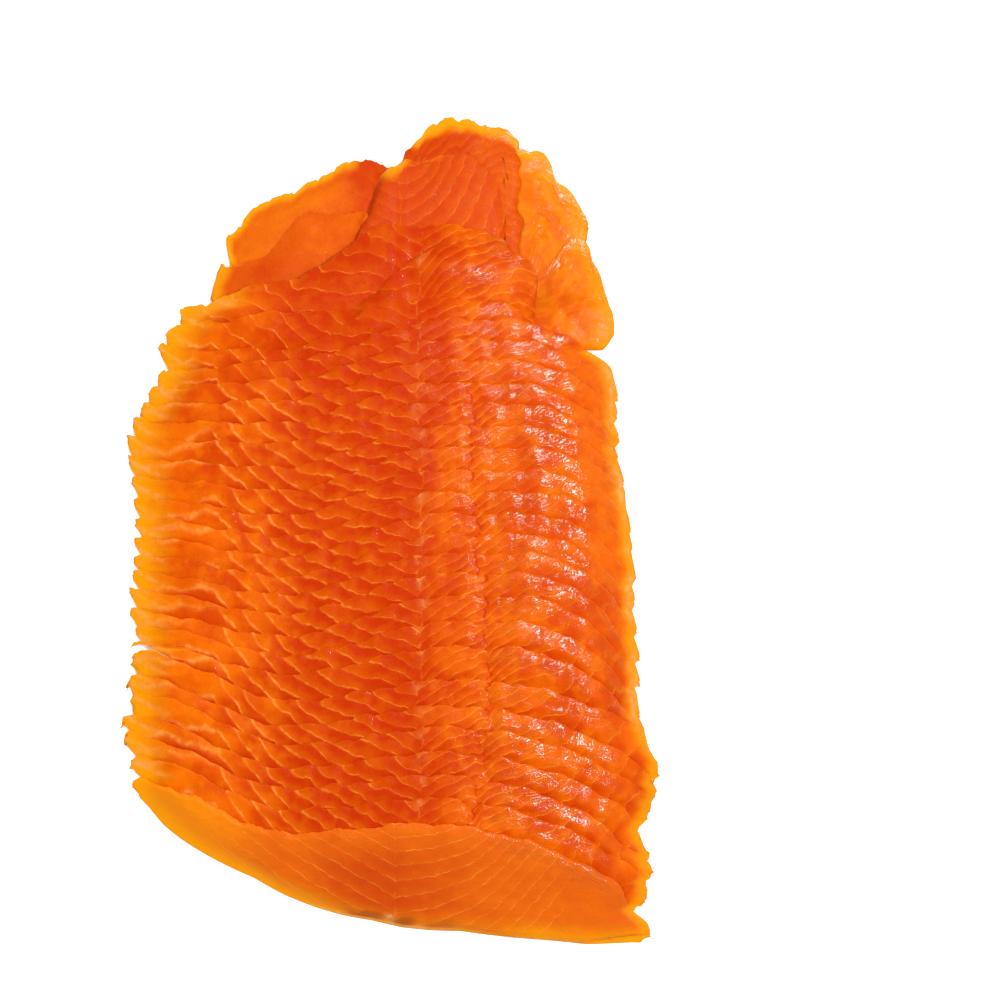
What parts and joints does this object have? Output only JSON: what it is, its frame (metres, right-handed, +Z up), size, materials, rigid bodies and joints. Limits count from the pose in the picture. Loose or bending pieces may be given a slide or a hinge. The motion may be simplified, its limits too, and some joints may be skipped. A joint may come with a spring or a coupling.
{
  "type": "sliced smoked salmon side",
  "caption": "Side of cold-smoked salmon cut into thin slices that lie fanned in the shape of the fish side.",
  "frame": {"origin": "middle of the bounding box in plan, at the flat underside", "axes": "+Z up, +Y towards the tail, -Y towards the wide front slice, -X towards the thin belly edge"},
  "size_m": [0.2077, 0.3281, 0.0184],
  "materials": {
    "flesh": "moist, translucent, lightly glossy",
    "tail_flesh": "moist, translucent, lightly glossy",
    "cut_face": "smooth knife-cut face, satin"
  },
  "bodies": {
    "root": {"tail_flap": "tail_flesh", "tail_end": "tail_flesh", "tail_trim": "tail_flesh", "tail_leaf": "tail_flesh", "tail_fold": "tail_flesh", "tail_face": "flesh", "slice_03": "flesh", "slice_04": "flesh", "slice_05": "flesh", "slice_06": "flesh", "slice_07": "flesh", "slice_08": "flesh", "slice_09": "flesh", "slice_10": "flesh", "slice_11": "flesh", "slice_12": "flesh", "slice_13": "flesh", "slice_14": "flesh", "slice_15": "flesh", "slice_16": "flesh", "slice_17": "flesh", "slice_18": "flesh", "slice_19": "flesh", "slice_20": "flesh", "slice_21": "flesh", "slice_22": "flesh", "slice_23": "flesh", "slice_24": "flesh", "slice_25": "flesh", "slice_26": "flesh", "slice_27": "flesh", "slice_28": "cut_face"}
  },
  "joints": []
}
